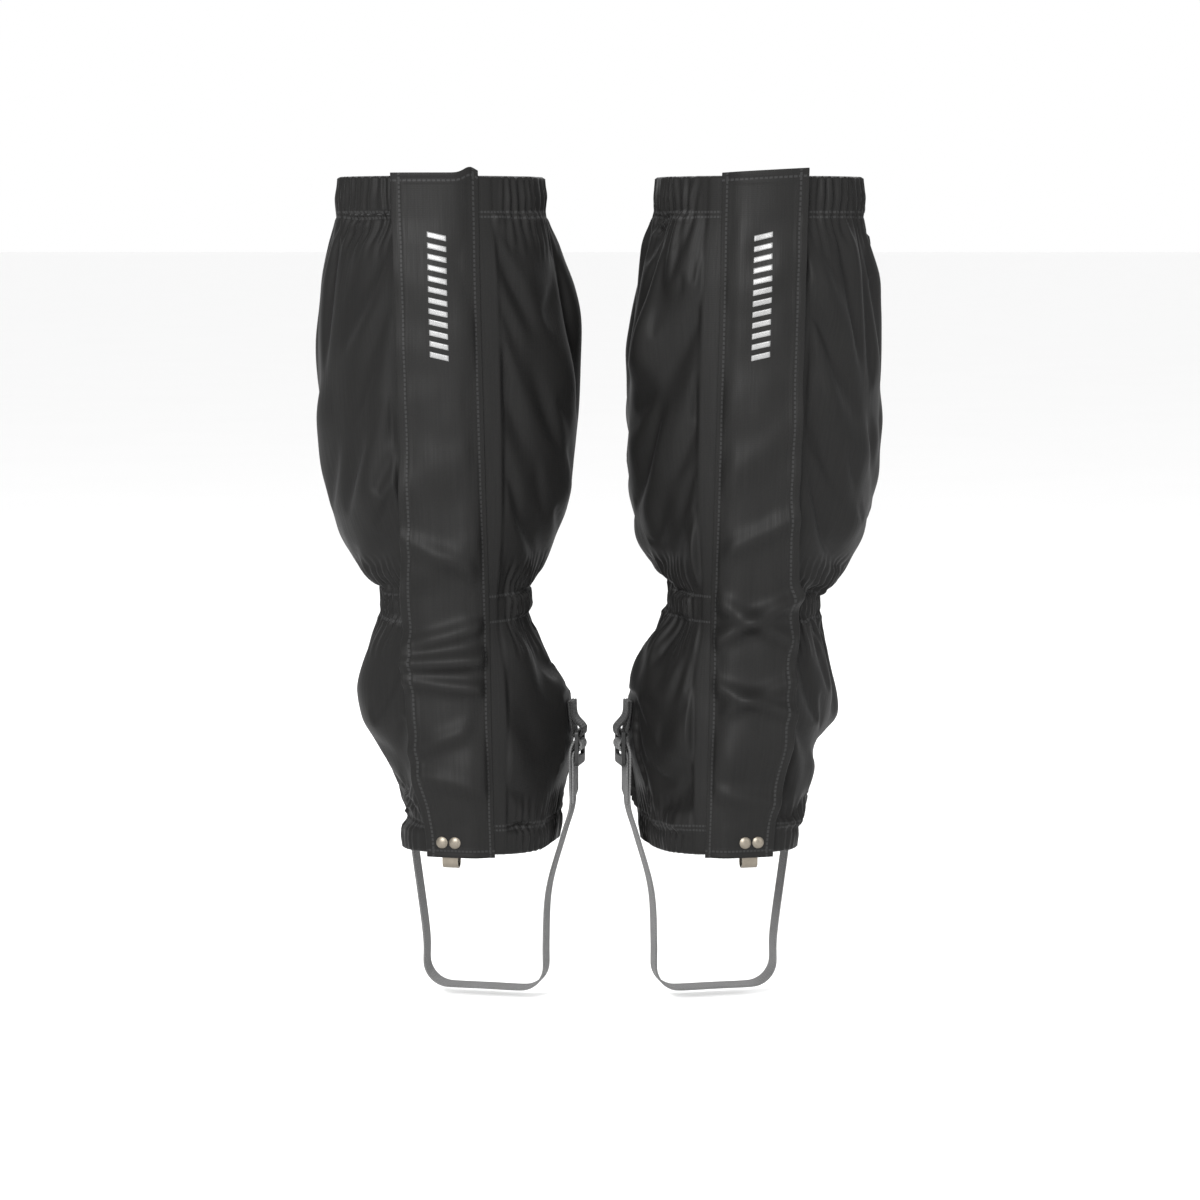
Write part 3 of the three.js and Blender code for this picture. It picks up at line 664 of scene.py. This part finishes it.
# Creases: height at the seam, rise towards the free edge, width, depth, from and to (share).
CREASES = {
    "right": [
        (0.128, -0.004, 0.0053, 0.0076, -0.2, 1.3), (0.150, -0.016, 0.0052, 0.0048, 0.0, 1.2),
        (0.108, 0.006, 0.0045, 0.0050, 0.0, 1.3), (0.090, -0.022, 0.0060, 0.0036, 0.2, 1.2),
        (0.178, 0.024, 0.0069, 0.0036, 0.1, 1.2), (0.205, -0.030, 0.0100, 0.0018, 0.0, 1.0),
        (0.262, -0.030, 0.0140, 0.0020, 0.1, 1.2), (0.335, 0.030, 0.0160, 0.0014, 0.0, 1.2),
        (0.060, -0.012, 0.0150, 0.0042, -0.2, 1.3), (0.042, 0.014, 0.0060, 0.0024, -0.2, 1.0),
    ],
    "left": [
        (0.136, 0.030, 0.0060, 0.0064, -0.2, 1.2), (0.165, -0.030, 0.0065, 0.0053, 0.0, 1.0),
        (0.112, -0.020, 0.0053, 0.0053, -0.2, 1.2), (0.190, 0.026, 0.0069, 0.0034, 0.1, 1.2),
        (0.092, 0.022, 0.0052, 0.0036, 0.1, 1.2), (0.235, 0.040, 0.0130, 0.0022, 0.0, 1.2),
        (0.290, -0.030, 0.0150, 0.0016, 0.0, 1.2), (0.350, 0.020, 0.0160, 0.0012, 0.1, 1.2),
        (0.064, 0.014, 0.0160, 0.0044, -0.2, 1.3), (0.045, -0.012, 0.0060, 0.0026, -0.2, 1.1),
    ],
}


FLAP_ROWS, FLAP_COLUMNS = 330, 54
EDGE_STITCH, SEAM_STITCH = 0.0048, 0.0035
RAY = 0.022


def bulge_under(side, base, normal):
    """How far the sleeve's folds stand off the fitted shape, at each point of the flap."""
    sleeve = bpy.data.objects[f"sleeve_{side}"]
    wall = BVHTree.FromObject(sleeve, bpy.context.evaluated_depsgraph_get())
    under = np.zeros(base.shape[:2])
    for i, j in np.ndindex(under.shape):
        n = Vector(normal[i, j] * (FLIP[side], 1, 1))
        start = Vector(base[i, j] * (FLIP[side], 1, 1)) + n * RAY
        hit = wall.ray_cast(start, -n, RAY)[3]
        under[i, j] = 0.0 if hit is None else RAY - hit
    return under


def flap_points(side):
    """The flap as it is worn: laid over the sleeve's folds, creased, with turned and sewn edges."""
    share = np.linspace(0, 1, FLAP_COLUMNS)[None, :]
    top_rise = 0.003 * share if side == "left" else 0.0035 * bump_at(share, 0.10, 0.10)
    h = np.linspace(-FLAP_OVER, HEIGHT + FLAP_OVER, FLAP_ROWS)[:, None] + 0 * share
    width = flap_width(h)
    x = seam_x(h) + share * width
    h = h + top_rise * ramp((h - HEIGHT + 0.03) / 0.03)
    angle = front_angle(h, x)
    base = on_form(h, angle)
    normal = on_form(h, angle, 0.001) - base
    normal /= np.linalg.norm(normal, axis=2, keepdims=True)

    free = ramp(share / 0.14)
    fold = 0.0006 * smooth_noise(h.shape, len(side), 90) * free
    for at, rise, size, depth, start, end in CREASES[side]:
        shown = ramp((share - start) / 0.18) * (1 - ramp((share - end + 0.15) / 0.18))
        fold = fold + depth * bump_at(h, at + rise * share, size) * shown * free
    calm = 1 - np.clip((h - HEIGHT + 0.05) / 0.04, 0, 1) * 0.7
    fold = fold * np.where(h < 0.026, ramp((h - 0.014) / 0.012), 1) * calm

    under = bulge_under(side, base, normal)
    stand = flap_stand(h, x) + FLAP_THICK / 2
    offset = stand + fold
    floor = np.maximum(under, 0) + np.minimum(stand, TAPE_STAND + FLAP_THICK / 2)
    for _ in range(4):
        offset = np.maximum(offset, floor)
        padded = np.pad(offset, 1, mode="edge")
        offset = (padded[1:-1, 1:-1] * 2 + padded[2:, 1:-1] + padded[:-2, 1:-1]
                  + padded[1:-1, 2:] + padded[1:-1, :-2]) / 6
    seam = 1 - ramp((x - seam_x(h)) / 0.006)
    offset = offset * (1 - seam) + stand * seam
    inside = share * width
    edge = np.minimum(width - inside, np.minimum(h + FLAP_OVER, HEIGHT + FLAP_OVER - h) + 0.001)
    hem = (0.0004 * (1 - ramp((edge - 0.0065) / 0.001))
           - 0.0005 * bump_at(edge, EDGE_STITCH, 0.0008) - 0.0004 * bump_at(inside, SEAM_STITCH, 0.0008))
    return base + normal * (offset + hem)[..., None]


flap_nylon = black_nylon("flap_nylon", 0.0034, 0.0090, 0.017, 0.55,
                         rows=(EDGE_STITCH, FLAP_TALL - EDGE_STITCH),
                         columns=(SEAM_STITCH, FLAP_WIDE - EDGE_STITCH))

flaps = {}
for side, flip in FLIP.items():
    flaps[side] = flap_points(side)
    flap = smooth_faces(grid_mesh(f"flap_{side}", flaps[side], FLAP_WIDE, FLAP_TALL))
    thickened(for_side(flap, side), FLAP_THICK, bevel=0.0003)
    paint(flap, flap_nylon)
    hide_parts(f"front_flap_{side}")
    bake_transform(flap)

# ---- Reflective mark ----
# Twelve plain slanted bars of silver-grey reflective print on the flap's upper half.
print_film = Finish("reflective_print", Coat_Roughness=0.2)
beads = print_film.noise(print_film.place(), 5200.0, 2.0)
worn = print_film.noise(print_film.place(), 180.0, 5.0, 0.65)
print_film.set(Base_Color=print_film.mix(worn, grey(0.16), grey(0.23)))
print_film.set(Roughness=0.34 + worn * 0.16, Metallic=0.35 + beads * 0.2)
print_film.bump(beads + worn * 0.4, 0.00015, 0.5)
MARK_LOW, MARK_HIGH, MARK_WIDE = 0.312, 0.391, 0.011
BARS, BAR_TALL, BAR_SLANT = 12, 0.0034, 0.0026
PRINT_THICK = 0.0002
PRINT_STAND = FLAP_THICK / 2 + 0.00018


def bar_points(points, low):
    """One slanted bar, printed on a flap with these points, from a height up."""
    half = MARK_WIDE / 2 / FLAP_WIDE
    share = np.linspace(0.5 - half, 0.5 + half, 12)[None, :]
    h = np.linspace(low, low + BAR_TALL, 5)[:, None] + np.linspace(0, BAR_SLANT, 12)[None, :]
    row = (h + FLAP_OVER) / FLAP_TALL * (FLAP_ROWS - 1) + 0 * share
    column = share * (FLAP_COLUMNS - 1) + 0 * h
    i, j = row.astype(int), column.astype(int)
    a, b = (row - i)[..., None], (column - j)[..., None]
    spot = ((points[i, j] * (1 - a) + points[i + 1, j] * a) * (1 - b)
            + (points[i, j + 1] * (1 - a) + points[i + 1, j + 1] * a) * b)
    return spot + outward(points)[i, j] * PRINT_STAND


for side in SIDES:
    bm = bmesh.new()
    for low in np.linspace(MARK_LOW, MARK_HIGH - BAR_TALL - BAR_SLANT, BARS):
        bar = grid_mesh("bar", bar_points(flaps[side], low), MARK_WIDE, BAR_TALL)
        bm.from_mesh(bar.data)
        bpy.data.objects.remove(bar)
    mark = for_side(smooth_faces(piece_from(f"mark_{side}", bm)), side)
    thickened(mark, PRINT_THICK)
    paint(mark, print_film)
    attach(mark, f"flap_{side}")
    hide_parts(f"reflective_mark_{side}")

# ---- Lace hook and rivets ----
# A stamped and bent strip of nickel-plated steel, held to the flap by two dome-headed rivets.
nickel = Finish("nickel_plate", Metallic=1.0)
smear = nickel.noise(nickel.place(), 260.0, 4.0, 0.6)
fine = nickel.noise(nickel.node("Mapping", Vector=nickel.place(), Scale=(300.0, 300.0, 2600.0)), 1.0, 3.0)
nickel.set(Base_Color=nickel.mix(smear, (0.13, 0.115, 0.093, 1), (0.23, 0.205, 0.17, 1)))
nickel.set(Roughness=0.34 + smear * 0.14 + fine * 0.08)
nickel.bump(fine * 0.4 + smear, 0.0001, 0.4)


def merged(node, name):
    """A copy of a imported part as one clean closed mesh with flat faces."""
    bm = bmesh.new()
    bm.from_mesh(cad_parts[node].data)
    bmesh.ops.remove_doubles(bm, verts=bm.verts, dist=2e-5)
    bmesh.ops.dissolve_limit(bm, angle_limit=math.radians(2), verts=bm.verts, edges=bm.edges)
    bmesh.ops.recalc_face_normals(bm, faces=bm.faces)
    return piece_from(name, bm)


def bevelled(piece, width):
    edge = piece.modifiers.new("edge", "BEVEL")
    edge.width = width
    edge.segments = 3
    edge.limit_method = "ANGLE"
    edge.angle_limit = math.radians(32)
    return piece


RIVET_CAP, SHANK = 0.0037, 0.0014
# From the axis, as radius and height: domed head with a flared rim, shank, clinched flange.
RIVET_PROFILE = (
    (0, 0.00150), (0.0014, 0.00140), (0.0026, 0.00100), (0.0034, 0.00050),
    (RIVET_CAP, 0.00022), (RIVET_CAP, 0.0), (0.0031, -0.00010), (SHANK, -0.00015),
    (SHANK, -0.0038), (0.0026, -0.0038), (0.0026, -0.0043), (0.0008, -0.0044), (0, -0.0040),
)


def rivet(place, side, flip):
    """A spun rivet whose head lies on the flap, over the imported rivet's middle."""
    bm = bmesh.new()
    ring = [bm.verts.new((r, 0, z)) for r, z in RIVET_PROFILE]
    edges = [bm.edges.new(pair) for pair in zip(ring[:-1], ring[1:])]
    bmesh.ops.spin(bm, geom=ring + edges, axis=(0, 0, 1), cent=(0, 0, 0), steps=40,
                   angle=math.tau, use_merge=True)
    bmesh.ops.remove_doubles(bm, verts=bm.verts, dist=1e-6)
    bmesh.ops.recalc_face_normals(bm, faces=bm.faces)
    out = Vector(HOOK_OUT * (flip, 1, 1))
    low, high = map(Vector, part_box(f"hook_rivet_{place}_{side}"))
    spot = (low + high) / 2
    above = (spot - Vector(HOOK_CENTRE * (flip, 1, 1))).dot(out)
    spot = spot + out * (LOW_STAND + FLAP_THICK + 0.0002 - above)
    bm.transform(Matrix.Translation(spot) @ out.to_track_quat("Z", "Y").to_matrix().to_4x4())
    return smooth_faces(piece_from(f"rivet_{place}_{side}", bm), 40)


for side, flip in FLIP.items():
    hook = smooth_faces(merged(f"lace_hook_{side}", f"hook_{side}"), 35)
    paint(bevelled(hook, 0.00025), nickel)
    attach(hook, f"flap_{side}")
    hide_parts(f"lace_hook_{side}")
    for place in ("inner", "outer"):
        head = paint(rivet(place, side, flip), nickel)
        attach(head, f"flap_{side}")
        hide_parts(f"hook_rivet_{place}_{side}")

# ---- Under-foot strap ----
# Flat grey webbing, 15 mm wide. It is sewn to the sleeve on the outer side, passes under the arch
# of the boot and threads the ladder buckle on the inner side, with a short free tail.
STRAP_WIDE, STRAP_THICK = 0.015, 0.0014


def reach(h, direction):
    """How far across the foot the fitted shape reaches at a height: 1 outwards, -1 inwards."""
    ring = on_form(np.full(720, h), np.linspace(0, math.tau, 720))
    return direction * float((direction * (ring[:, :2] @ ACROSS)).max())


# Places are across the foot and up. The boot is 80 mm wide at the arch, the strap's lowest point
# 8 mm up.
SOLE_MIDDLE = float(leg_centre(0.0) @ ACROSS)
ARCH_HALF, ARCH_Z, ARCH_TURN = 0.040, 0.008, 0.016
BAR_Z, TOP_BAR_Z, LIP_TOP_Z = 0.170, 0.17825, 0.16275
BUCKLE_X = min(reach(0.066, -1), reach(0.076, -1), reach(0.086, -1)) - 0.0054
TAIL_X = BUCKLE_X + 0.0028
LOAD_X = TAIL_X + 0.0018
FOLD_GAP = 0.0003


def curve_through(points, step=0.0008):
    """Evenly spaced points on a smooth curve through the given ones."""
    p = np.array(points, float)
    p = np.concatenate([2 * p[:1] - p[1:2], p, 2 * p[-1:] - p[-2:-1]])
    pieces = []
    for a, b, c, d in zip(p[:-3], p[1:-2], p[2:-1], p[3:]):
        t = np.linspace(0, 1, 40, endpoint=False)[:, None]
        k0 = max(np.linalg.norm(b - a), 1e-6) ** 0.5
        k1 = max(np.linalg.norm(c - b), 1e-6) ** 0.5
        k2 = max(np.linalg.norm(d - c), 1e-6) ** 0.5
        m1 = (c - b) + k1 * ((b - a) / k0 - (c - a) / (k0 + k1))
        m2 = (c - b) + k1 * ((d - c) / k2 - (d - b) / (k1 + k2))
        pieces.append((2 * t**3 - 3 * t**2 + 1) * b + (t**3 - 2 * t**2 + t) * m1
                      + (-2 * t**3 + 3 * t**2) * c + (t**3 - t**2) * m2)
    line = np.concatenate(pieces + [p[-2:-1]])
    run = np.concatenate([[0], np.cumsum(np.linalg.norm(np.diff(line, axis=0), axis=1))])
    even = np.linspace(0, run[-1], int(run[-1] / step) + 1)
    return np.stack([np.interp(even, run, line[:, k]) for k in (0, 1)], -1)


def arc(centre, radius, start, end, count=9):
    turn = np.radians(np.linspace(start, end, count))
    return [(centre[0] + radius * math.cos(t), centre[1] + radius * math.sin(t)) for t in turn]


def strap_line():
    """Up the free tail, round the buckle's middle bar, down, under the arch, up to the sewn end."""
    turn = math.hypot(0.0025, 0.0026) / 2 + FOLD_GAP + STRAP_THICK / 2
    foot = LIP_TOP_Z - 0.031
    tail = [
        (TAIL_X, foot), (TAIL_X, foot + 0.012), (TAIL_X, LIP_TOP_Z - 0.006),
        (TAIL_X, LIP_TOP_Z - 0.001), (TAIL_X - 0.0009, LIP_TOP_Z + 0.0026),
        (BUCKLE_X - 0.0017, BAR_Z - 0.003), (BUCKLE_X - turn, BAR_Z),
        (BUCKLE_X - turn * 0.6, BAR_Z + turn * 0.8), (BUCKLE_X + turn * 0.6, BAR_Z + turn * 0.8),
        (LOAD_X - 0.001, BAR_Z - 0.001), (LOAD_X, BAR_Z - 0.0055),
        (LOAD_X, foot + 0.012), (LOAD_X, foot - 0.002),
    ]
    low, high = SOLE_MIDDLE - ARCH_HALF, SOLE_MIDDLE + ARCH_HALF
    corner_z = ARCH_Z + ARCH_TURN
    under = [(min(reach(0, -1), reach(0.030, -1)) - 0.0035, HEM_Z + 0.004),
             (low - 0.002, HEM_Z - 0.032), (low, 0.038)]
    under += arc((low + ARCH_TURN, corner_z), ARCH_TURN, 180, 270) + [(SOLE_MIDDLE, ARCH_Z)]
    under += arc((high - ARCH_TURN, corner_z), ARCH_TURN, 270, 360) + [(high, 0.038)]
    outer = [(reach(h, 1) + stand, HEM_Z + h) for h, stand in (
        (0.0, 0.0035), (0.022, 0.004), (0.042, 0.003), (0.054, 0.0018), (0.060, 0.0015),
        (0.066, 0.0015))]
    return curve_through(tail + under + outer)


def webbing(name, line, slant=0.0):
    """A strip of webbing on edge-on points, its width along the foot, its first end cut slanted."""
    spread = np.linspace(-0.5, 0.5, 9)
    run = np.concatenate([[0], np.cumsum(np.linalg.norm(np.diff(line, axis=0), axis=1))])
    rows = []
    for s in run:
        at = s + slant * (spread + 0.5) * max(0.0, 1 - s / 0.03)
        x, z = np.interp(at, run, line[:, 0]), np.interp(at, run, line[:, 1])
        foot = STRAP_PLANE + STRAP_WIDE * spread
        ground = x[:, None] * ACROSS + foot[:, None] * ALONG
        rows.append(np.concatenate([ground, z[:, None]], 1))
    strip = grid_mesh(name, np.array(rows), STRAP_WIDE, run[-1])
    return smooth_faces(strip), float(run[-1])


def woven(name, dark, light):
    """Webbing: ribs along it, picks across it, a faint chevron and some grime."""
    cloth = Finish(name, Sheen_Weight=0.06, Sheen_Roughness=0.5, Specular_IOR_Level=0.2)
    across, along = cloth.uv()
    pick = (along * (math.tau / 0.0017)).sin()
    rib = (across * (math.tau / 0.0013)).sin()
    chevron = ((along + across.abs() * 0.8) * (math.tau / 0.0026)).sin() * rib
    grime = cloth.noise(cloth.place(), 70.0, 5.0, 0.6)
    thread = cloth.noise(cloth.node("CombineXYZ", X=across * 4000.0, Y=along * 500.0, Z=0.0), 1.0, 2.0)
    shade = chevron * 0.22 + pick * 0.12 + (thread - 0.5) * 0.5 + (grime - 0.5) * 0.9 + 0.5
    cloth.set(Base_Color=cloth.mix(shade.clamped(), dark, light))
    cloth.set(Roughness=0.62 + (grime - 0.5) * 0.25)
    cloth.bump(chevron * 0.35 + pick * 0.3 + thread * 0.3, 0.0004, 0.8)
    return cloth


grey_webbing = woven("grey_webbing", grey(0.05), grey(0.13))
black_webbing = woven("black_webbing", grey(0.004), grey(0.013))
for side in SIDES:
    strap, length = webbing(f"strap_{side}", strap_line(), slant=0.007)
    thickened(for_side(strap, side), STRAP_THICK, bevel=0.0004)
    paint(strap, grey_webbing)
    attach(strap, f"strap_{side}")
    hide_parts(f"foot_strap_{side}")

# ---- Buckle tab ----
# A short loop of black webbing, both ends sewn to the sleeve, that the buckle's top bar hangs in.


def tab_line():
    """Down from the sewn ends, round the buckle's top bar, and up again on the sleeve."""
    turn = math.hypot(0.003, 0.0026) / 2 + FOLD_GAP + STRAP_THICK / 2
    top = TOP_BAR_Z + 0.020
    sewn = top - 0.010
    top_x, sewn_x = (reach(z - HEM_Z, -1) - STRAP_THICK / 2 - 0.0006 for z in (top, sewn))
    front = STRAP_THICK + FOLD_GAP
    return curve_through(
        [(top_x - front, top), (sewn_x - front, sewn), (BUCKLE_X - turn, TOP_BAR_Z + 0.0025)]
        + arc((BUCKLE_X, TOP_BAR_Z), turn, 180, 360) + [(sewn_x, sewn), (top_x, top)], 0.0007)


for side in SIDES:
    tab, length = webbing(f"tab_{side}", tab_line())
    thickened(for_side(tab, side), STRAP_THICK, bevel=0.0004)
    paint(tab, black_webbing)
    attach(tab, f"strap_{side}")
    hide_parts(f"buckle_tab_{side}")

# ---- Ladder-lock buckle ----
# Moulded black acetal with rounded edges, a fine spark-eroded texture and grip ridges on its lip.
acetal = Finish("black_acetal", Specular_IOR_Level=0.25)
grain = acetal.noise(acetal.place(), 3200.0, 3.0)
scuff = acetal.noise(acetal.place(), 240.0, 5.0, 0.7)
acetal.set(Base_Color=acetal.mix(scuff, grey(0.008), grey(0.018)))
acetal.set(Roughness=0.34 + scuff * 0.22)
acetal.bump(grain * 0.6 + scuff * 0.3, 0.0001, 0.5)
RIDGE, RIDGE_PITCH = (0.0007, 0.0150, 0.0009), 0.0015
for side in SIDES:
    buckle = smooth_faces(merged(f"strap_buckle_{side}", f"buckle_{side}"), 35)
    lip_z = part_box(f"strap_buckle_{side}")[0][2]
    spot = ACROSS * (BUCKLE_X - 0.0013) + ALONG * STRAP_PLANE
    bm = bmesh.new()
    bm.from_mesh(buckle.data)
    for k in range(3):
        ridge = bmesh.ops.create_cube(bm, size=1)["verts"]
        bmesh.ops.scale(bm, verts=ridge, vec=RIDGE)
        bmesh.ops.rotate(bm, verts=ridge, cent=(0, 0, 0), matrix=Matrix.Rotation(TOE_OUT, 3, "Z"))
        bmesh.ops.translate(bm, verts=ridge, vec=(*spot, lip_z + 0.0013 + RIDGE_PITCH * k))
        if side == "right":
            bmesh.ops.scale(bm, verts=ridge, vec=(-1, 1, 1))
            bmesh.ops.reverse_faces(bm, faces=list({f for v in ridge for f in v.link_faces}))
    bm.to_mesh(buckle.data)
    bm.free()
    paint(bevelled(buckle, 0.00045), acetal)
    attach(buckle, f"strap_{side}")
    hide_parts(f"strap_buckle_{side}")

# ---- Floor, light and camera ----
# A pale floor under white light from all round, a soft key in front on the wearer's right, a
# weaker fill in front on the left and one behind, and the camera at knee height.
floor_paint = Finish("pale_floor", Roughness=0.9)
speck = floor_paint.noise(floor_paint.place(), 3.0, 3.0)
floor_paint.set(Base_Color=floor_paint.mix(speck, grey(0.93), grey(0.95)))
bm = bmesh.new()
bmesh.ops.create_grid(bm, x_segments=1, y_segments=1, size=60.0)
floor = paint(piece_from("floor", bm), floor_paint)

world = bpy.data.worlds.new("studio")
world.use_nodes = True
sky = world.node_tree.nodes["Background"].inputs
sky["Color"].default_value = (1, 1, 1, 1)
sky["Strength"].default_value = 1.0
bpy.context.scene.world = world
bpy.context.scene.view_settings.view_transform = "Standard"

MIDDLE = (0, 0, 0.3)


def soft_light(name, place, size, power):
    """A rectangular area light turned to the middle of the pair."""
    lamp = bpy.data.lights.new(name, "AREA")
    lamp.shape = "RECTANGLE"
    lamp.size, lamp.size_y = size
    lamp.energy = power
    light = bpy.data.objects.new(name, lamp)
    light.location = place
    light.rotation_euler = (Vector(MIDDLE) - Vector(place)).to_track_quat("-Z", "Y").to_euler()
    bpy.context.collection.objects.link(light)


soft_light("key", (-0.6, -1.9, 1.35), (1.0, 0.9), 85)
soft_light("fill", (1.6, -1.3, 0.9), (1.0, 1.6), 14)
soft_light("back", (0.3, 1.5, 1.6), (1.8, 0.8), 18)

lens = bpy.data.cameras.new("camera")
lens.angle = math.radians(21.7)
camera = bpy.data.objects.new("camera", lens)
camera.location = (0, -2.0, 0.5)
camera.rotation_euler = (math.radians(90 - 6.8), 0, 0)
bpy.context.collection.objects.link(camera)
bpy.context.scene.camera = camera
